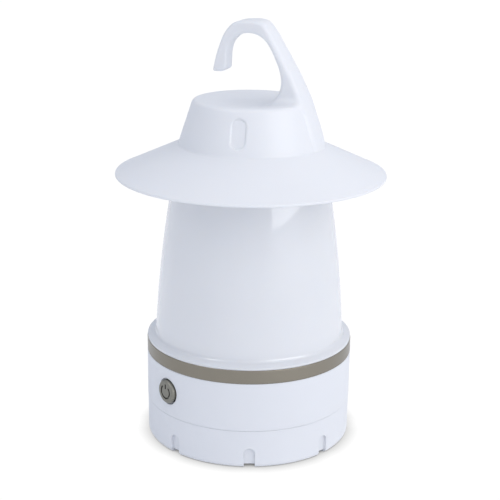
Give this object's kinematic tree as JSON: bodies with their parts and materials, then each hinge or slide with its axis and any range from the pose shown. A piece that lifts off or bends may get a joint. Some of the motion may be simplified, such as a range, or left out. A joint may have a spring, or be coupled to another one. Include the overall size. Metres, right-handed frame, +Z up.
{
  "type": "camping lantern",
  "caption": "Battery camping lantern with a hat-shaped top, a curved carrying hook, a tapering milky diffuser, a side push button and a twist-off battery cover.",
  "frame": {"origin": "centre of the underside, on the plane the lantern stands on", "axes": "+Z up the lantern's axis; the hook lies in the XZ plane with its foot on the +X side and its open mouth towards -X"},
  "size_m": [0.12, 0.12, 0.1884],
  "materials": {
    "white_shell": "white ABS, fine satin texture",
    "hat_white": "white ABS, semi-gloss",
    "milk_diffuser": "translucent milky PP, glossy",
    "taupe_trim": "taupe satin plastic",
    "taupe_button": "taupe satin plastic",
    "inner_white": "natural white moulding",
    "carrier_black": "black moulding",
    "cell_wrap": "plain shrink sleeve, no print",
    "contact_nickel": "nickel-plated spring steel",
    "steel_screw": "zinc-plated steel",
    "gasket_rubber": "soft black rubber",
    "board_green": "green lacquered laminate",
    "board_white": "white lacquered laminate",
    "led_yellow": "phosphor in clear resin",
    "switch_black": "black nylon",
    "ceramic": "pale ceramic",
    "lead_red": "red PVC",
    "lead_black": "black PVC"
  },
  "bodies": {
    "lamp": {"shade_hat": "hat_white", "hat_screws": "steel_screw", "diffuser": "milk_diffuser", "trim_ring": "taupe_trim", "housing": "white_shell", "chassis_screws": "steel_screw", "cover_gasket": "gasket_rubber", "battery_compartment": "inner_white", "battery_cells": "cell_wrap", "upper_bridge_contact": "contact_nickel", "end_terminals": "contact_nickel", "upper_contact_springs": "contact_nickel", "reflector_tray": "inner_white", "led_board": "board_white", "leds": "led_yellow", "board_screws": "steel_screw", "switch_body": "switch_black", "button_spring": "contact_nickel", "switch_board": "board_green", "switch_board_screws": "steel_screw", "limit_resistors": "ceramic", "red_leads": "lead_red", "black_leads": "lead_black"},
    "contact_carrier": {"contact_carrier": "carrier_black", "lower_bridge_contacts": "contact_nickel", "lower_contact_springs": "contact_nickel"},
    "battery_cover": {"battery_cover": "white_shell", "pivot_screw": "steel_screw", "pivot_washer": "steel_screw"},
    "power_button": {"power_button": "taupe_button", "switch_plunger": "inner_white"}
  },
  "joints": [
    {"name": "cover_drop", "type": "slide", "parent": "lamp", "child": "contact_carrier", "axis": [0, 0, -1], "range_m": [0, 0.012]},
    {"name": "cover_twist", "type": "hinge", "parent": "contact_carrier", "child": "battery_cover", "pos_m": [0, 0, 0], "axis": [0, 0, -1], "range_deg": [0, 360]},
    {"name": "button_press", "type": "slide", "parent": "lamp", "child": "power_button", "axis": [0.527, 0.8499, 0], "range_m": [0, 0.0016], "stiffness_N_per_m": 450, "springref_m": -0.0006, "deforming": ["button_spring"]}
  ],
  "couplings": [
    {"joint": "cover_drop", "follows": "cover_twist", "m_per_rad": 0.0019099}
  ]
}
